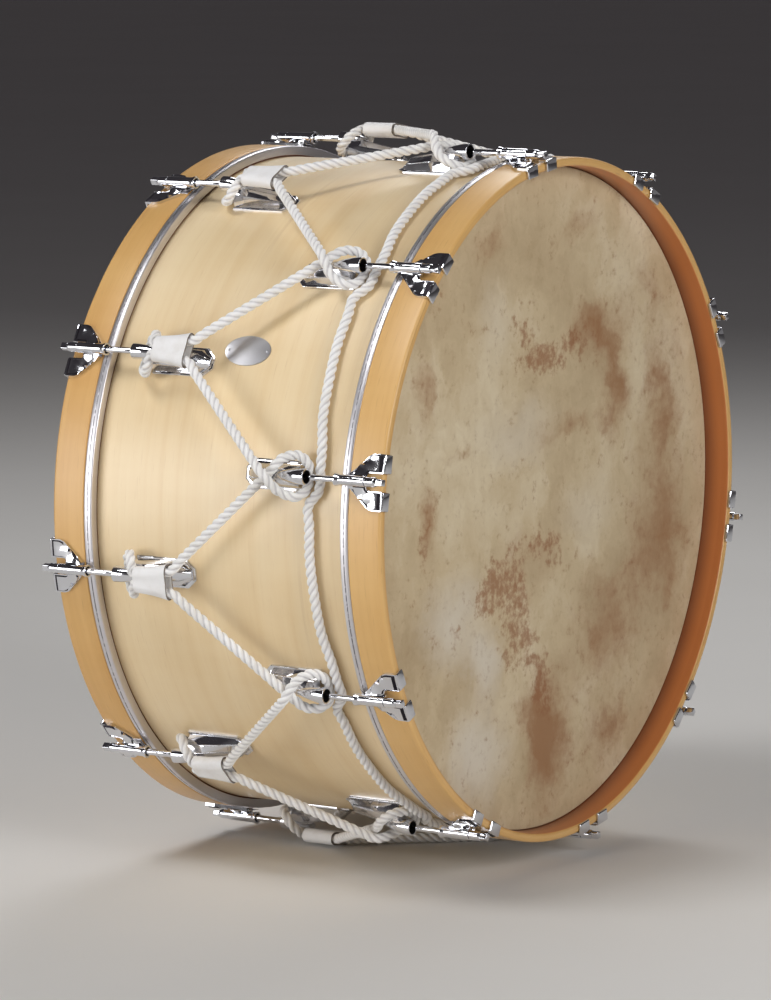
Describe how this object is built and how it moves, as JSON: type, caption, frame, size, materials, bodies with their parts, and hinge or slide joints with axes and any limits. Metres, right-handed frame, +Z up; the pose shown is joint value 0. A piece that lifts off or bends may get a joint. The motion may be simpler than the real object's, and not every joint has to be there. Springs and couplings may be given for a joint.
{
  "type": "marching bass drum",
  "caption": "Double-headed bass drum with a bent maple shell, claw-hooked wooden hoops, tension rods and zigzag rope.",
  "frame": {"origin": "centre of the drum, on its axis and halfway between the two hoops' rims", "axes": "+X along the drum's axis to the right-hand head, +Z up"},
  "size_m": [0.395, 0.7312, 0.7308],
  "materials": {
    "shell_maple": "satin",
    "hoop_maple": "satin",
    "skin": "matte",
    "bright_metal": "satin",
    "chrome": "polished",
    "rope": "matte",
    "ear_leather": "matte"
  },
  "bodies": {
    "drum": {"shell": "shell_maple", "zigzag_rope": "rope", "ring_rope": "rope", "right_head": "skin", "right_flesh_hoop": "bright_metal", "right_counterhoop": "hoop_maple", "left_head": "skin", "left_flesh_hoop": "bright_metal", "left_counterhoop": "hoop_maple", "ear_01": "ear_leather", "ear_02": "ear_leather", "ear_03": "ear_leather", "ear_04": "ear_leather", "ear_05": "ear_leather", "ear_06": "ear_leather", "ear_07": "ear_leather", "ear_08": "ear_leather", "ear_09": "ear_leather", "ear_10": "ear_leather"},
    "right_claw_01": {"right_claw_01": "chrome"},
    "right_rod_01": {"right_rod_01": "chrome"},
    "right_claw_02": {"right_claw_02": "chrome"},
    "right_rod_02": {"right_rod_02": "chrome"},
    "right_claw_03": {"right_claw_03": "chrome"},
    "right_rod_03": {"right_rod_03": "chrome"},
    "right_claw_04": {"right_claw_04": "chrome"},
    "right_rod_04": {"right_rod_04": "chrome"},
    "right_claw_05": {"right_claw_05": "chrome"},
    "right_rod_05": {"right_rod_05": "chrome"},
    "right_claw_06": {"right_claw_06": "chrome"},
    "right_rod_06": {"right_rod_06": "chrome"},
    "right_claw_07": {"right_claw_07": "chrome"},
    "right_rod_07": {"right_rod_07": "chrome"},
    "right_claw_08": {"right_claw_08": "chrome"},
    "right_rod_08": {"right_rod_08": "chrome"},
    "right_claw_09": {"right_claw_09": "chrome"},
    "right_rod_09": {"right_rod_09": "chrome"},
    "right_claw_10": {"right_claw_10": "chrome"},
    "right_rod_10": {"right_rod_10": "chrome"},
    "left_claw_01": {"left_claw_01": "chrome"},
    "left_rod_01": {"left_rod_01": "chrome"},
    "left_claw_02": {"left_claw_02": "chrome"},
    "left_rod_02": {"left_rod_02": "chrome"},
    "left_claw_03": {"left_claw_03": "chrome"},
    "left_rod_03": {"left_rod_03": "chrome"},
    "left_claw_04": {"left_claw_04": "chrome"},
    "left_rod_04": {"left_rod_04": "chrome"},
    "left_claw_05": {"left_claw_05": "chrome"},
    "left_rod_05": {"left_rod_05": "chrome"},
    "left_claw_06": {"left_claw_06": "chrome"},
    "left_rod_06": {"left_rod_06": "chrome"},
    "left_claw_07": {"left_claw_07": "chrome"},
    "left_rod_07": {"left_rod_07": "chrome"},
    "left_claw_08": {"left_claw_08": "chrome"},
    "left_rod_08": {"left_rod_08": "chrome"},
    "left_claw_09": {"left_claw_09": "chrome"},
    "left_rod_09": {"left_rod_09": "chrome"},
    "left_claw_10": {"left_claw_10": "chrome"},
    "left_rod_10": {"left_rod_10": "chrome"}
  },
  "joints": [
    {"name": "right_claw_slide_01", "type": "slide", "parent": "drum", "child": "right_claw_01", "axis": [1, 0, 0], "range_m": [0, 0.01]},
    {"name": "right_rod_turn_01", "type": "hinge", "parent": "right_claw_01", "child": "right_rod_01", "pos_m": [0.14, 0.1589, 0.31185], "axis": [1, 0, 0], "continuous": true},
    {"name": "right_claw_slide_02", "type": "slide", "parent": "drum", "child": "right_claw_02", "axis": [1, 0, 0], "range_m": [0, 0.01]},
    {"name": "right_rod_turn_02", "type": "hinge", "parent": "right_claw_02", "child": "right_rod_02", "pos_m": [0.14, 0.31185, 0.1589], "axis": [1, 0, 0], "continuous": true},
    {"name": "right_claw_slide_03", "type": "slide", "parent": "drum", "child": "right_claw_03", "axis": [1, 0, 0], "range_m": [0, 0.01]},
    {"name": "right_rod_turn_03", "type": "hinge", "parent": "right_claw_03", "child": "right_rod_03", "pos_m": [0.14, 0.34569, -0.05475], "axis": [1, 0, 0], "continuous": true},
    {"name": "right_claw_slide_04", "type": "slide", "parent": "drum", "child": "right_claw_04", "axis": [1, 0, 0], "range_m": [0, 0.01]},
    {"name": "right_rod_turn_04", "type": "hinge", "parent": "right_claw_04", "child": "right_rod_04", "pos_m": [0.14, 0.24749, -0.24749], "axis": [1, 0, 0], "continuous": true},
    {"name": "right_claw_slide_05", "type": "slide", "parent": "drum", "child": "right_claw_05", "axis": [1, 0, 0], "range_m": [0, 0.01]},
    {"name": "right_rod_turn_05", "type": "hinge", "parent": "right_claw_05", "child": "right_rod_05", "pos_m": [0.14, 0.05475, -0.34569], "axis": [1, 0, 0], "continuous": true},
    {"name": "right_claw_slide_06", "type": "slide", "parent": "drum", "child": "right_claw_06", "axis": [1, 0, 0], "range_m": [0, 0.01]},
    {"name": "right_rod_turn_06", "type": "hinge", "parent": "right_claw_06", "child": "right_rod_06", "pos_m": [0.14, -0.1589, -0.31185], "axis": [1, 0, 0], "continuous": true},
    {"name": "right_claw_slide_07", "type": "slide", "parent": "drum", "child": "right_claw_07", "axis": [1, 0, 0], "range_m": [0, 0.01]},
    {"name": "right_rod_turn_07", "type": "hinge", "parent": "right_claw_07", "child": "right_rod_07", "pos_m": [0.14, -0.31185, -0.1589], "axis": [1, 0, 0], "continuous": true},
    {"name": "right_claw_slide_08", "type": "slide", "parent": "drum", "child": "right_claw_08", "axis": [1, 0, 0], "range_m": [0, 0.01]},
    {"name": "right_rod_turn_08", "type": "hinge", "parent": "right_claw_08", "child": "right_rod_08", "pos_m": [0.14, -0.34569, 0.05475], "axis": [1, 0, 0], "continuous": true},
    {"name": "right_claw_slide_09", "type": "slide", "parent": "drum", "child": "right_claw_09", "axis": [1, 0, 0], "range_m": [0, 0.01]},
    {"name": "right_rod_turn_09", "type": "hinge", "parent": "right_claw_09", "child": "right_rod_09", "pos_m": [0.14, -0.24749, 0.24749], "axis": [1, 0, 0], "continuous": true},
    {"name": "right_claw_slide_10", "type": "slide", "parent": "drum", "child": "right_claw_10", "axis": [1, 0, 0], "range_m": [0, 0.01]},
    {"name": "right_rod_turn_10", "type": "hinge", "parent": "right_claw_10", "child": "right_rod_10", "pos_m": [0.14, -0.05475, 0.34569], "axis": [1, 0, 0], "continuous": true},
    {"name": "left_claw_slide_01", "type": "slide", "parent": "drum", "child": "left_claw_01", "axis": [-1, 0, 0], "range_m": [0, 0.01]},
    {"name": "left_rod_turn_01", "type": "hinge", "parent": "left_claw_01", "child": "left_rod_01", "pos_m": [-0.14, 0.05475, 0.34569], "axis": [-1, 0, 0], "continuous": true},
    {"name": "left_claw_slide_02", "type": "slide", "parent": "drum", "child": "left_claw_02", "axis": [-1, 0, 0], "range_m": [0, 0.01]},
    {"name": "left_rod_turn_02", "type": "hinge", "parent": "left_claw_02", "child": "left_rod_02", "pos_m": [-0.14, 0.24749, 0.24749], "axis": [-1, 0, 0], "continuous": true},
    {"name": "left_claw_slide_03", "type": "slide", "parent": "drum", "child": "left_claw_03", "axis": [-1, 0, 0], "range_m": [0, 0.01]},
    {"name": "left_rod_turn_03", "type": "hinge", "parent": "left_claw_03", "child": "left_rod_03", "pos_m": [-0.14, 0.34569, 0.05475], "axis": [-1, 0, 0], "continuous": true},
    {"name": "left_claw_slide_04", "type": "slide", "parent": "drum", "child": "left_claw_04", "axis": [-1, 0, 0], "range_m": [0, 0.01]},
    {"name": "left_rod_turn_04", "type": "hinge", "parent": "left_claw_04", "child": "left_rod_04", "pos_m": [-0.14, 0.31185, -0.1589], "axis": [-1, 0, 0], "continuous": true},
    {"name": "left_claw_slide_05", "type": "slide", "parent": "drum", "child": "left_claw_05", "axis": [-1, 0, 0], "range_m": [0, 0.01]},
    {"name": "left_rod_turn_05", "type": "hinge", "parent": "left_claw_05", "child": "left_rod_05", "pos_m": [-0.14, 0.1589, -0.31185], "axis": [-1, 0, 0], "continuous": true},
    {"name": "left_claw_slide_06", "type": "slide", "parent": "drum", "child": "left_claw_06", "axis": [-1, 0, 0], "range_m": [0, 0.01]},
    {"name": "left_rod_turn_06", "type": "hinge", "parent": "left_claw_06", "child": "left_rod_06", "pos_m": [-0.14, -0.05475, -0.34569], "axis": [-1, 0, 0], "continuous": true},
    {"name": "left_claw_slide_07", "type": "slide", "parent": "drum", "child": "left_claw_07", "axis": [-1, 0, 0], "range_m": [0, 0.01]},
    {"name": "left_rod_turn_07", "type": "hinge", "parent": "left_claw_07", "child": "left_rod_07", "pos_m": [-0.14, -0.24749, -0.24749], "axis": [-1, 0, 0], "continuous": true},
    {"name": "left_claw_slide_08", "type": "slide", "parent": "drum", "child": "left_claw_08", "axis": [-1, 0, 0], "range_m": [0, 0.01]},
    {"name": "left_rod_turn_08", "type": "hinge", "parent": "left_claw_08", "child": "left_rod_08", "pos_m": [-0.14, -0.34569, -0.05475], "axis": [-1, 0, 0], "continuous": true},
    {"name": "left_claw_slide_09", "type": "slide", "parent": "drum", "child": "left_claw_09", "axis": [-1, 0, 0], "range_m": [0, 0.01]},
    {"name": "left_rod_turn_09", "type": "hinge", "parent": "left_claw_09", "child": "left_rod_09", "pos_m": [-0.14, -0.31185, 0.1589], "axis": [-1, 0, 0], "continuous": true},
    {"name": "left_claw_slide_10", "type": "slide", "parent": "drum", "child": "left_claw_10", "axis": [-1, 0, 0], "range_m": [0, 0.01]},
    {"name": "left_rod_turn_10", "type": "hinge", "parent": "left_claw_10", "child": "left_rod_10", "pos_m": [-0.14, -0.1589, 0.31185], "axis": [-1, 0, 0], "continuous": true}
  ],
  "couplings": [
    {"joint": "right_rod_turn_01", "follows": "right_claw_slide_01", "rad_per_m": 6283.2},
    {"joint": "right_rod_turn_02", "follows": "right_claw_slide_02", "rad_per_m": 6283.2},
    {"joint": "right_rod_turn_03", "follows": "right_claw_slide_03", "rad_per_m": 6283.2},
    {"joint": "right_rod_turn_04", "follows": "right_claw_slide_04", "rad_per_m": 6283.2},
    {"joint": "right_rod_turn_05", "follows": "right_claw_slide_05", "rad_per_m": 6283.2},
    {"joint": "right_rod_turn_06", "follows": "right_claw_slide_06", "rad_per_m": 6283.2},
    {"joint": "right_rod_turn_07", "follows": "right_claw_slide_07", "rad_per_m": 6283.2},
    {"joint": "right_rod_turn_08", "follows": "right_claw_slide_08", "rad_per_m": 6283.2},
    {"joint": "right_rod_turn_09", "follows": "right_claw_slide_09", "rad_per_m": 6283.2},
    {"joint": "right_rod_turn_10", "follows": "right_claw_slide_10", "rad_per_m": 6283.2},
    {"joint": "left_rod_turn_01", "follows": "left_claw_slide_01", "rad_per_m": 6283.2},
    {"joint": "left_rod_turn_02", "follows": "left_claw_slide_02", "rad_per_m": 6283.2},
    {"joint": "left_rod_turn_03", "follows": "left_claw_slide_03", "rad_per_m": 6283.2},
    {"joint": "left_rod_turn_04", "follows": "left_claw_slide_04", "rad_per_m": 6283.2},
    {"joint": "left_rod_turn_05", "follows": "left_claw_slide_05", "rad_per_m": 6283.2},
    {"joint": "left_rod_turn_06", "follows": "left_claw_slide_06", "rad_per_m": 6283.2},
    {"joint": "left_rod_turn_07", "follows": "left_claw_slide_07", "rad_per_m": 6283.2},
    {"joint": "left_rod_turn_08", "follows": "left_claw_slide_08", "rad_per_m": 6283.2},
    {"joint": "left_rod_turn_09", "follows": "left_claw_slide_09", "rad_per_m": 6283.2},
    {"joint": "left_rod_turn_10", "follows": "left_claw_slide_10", "rad_per_m": 6283.2}
  ]
}
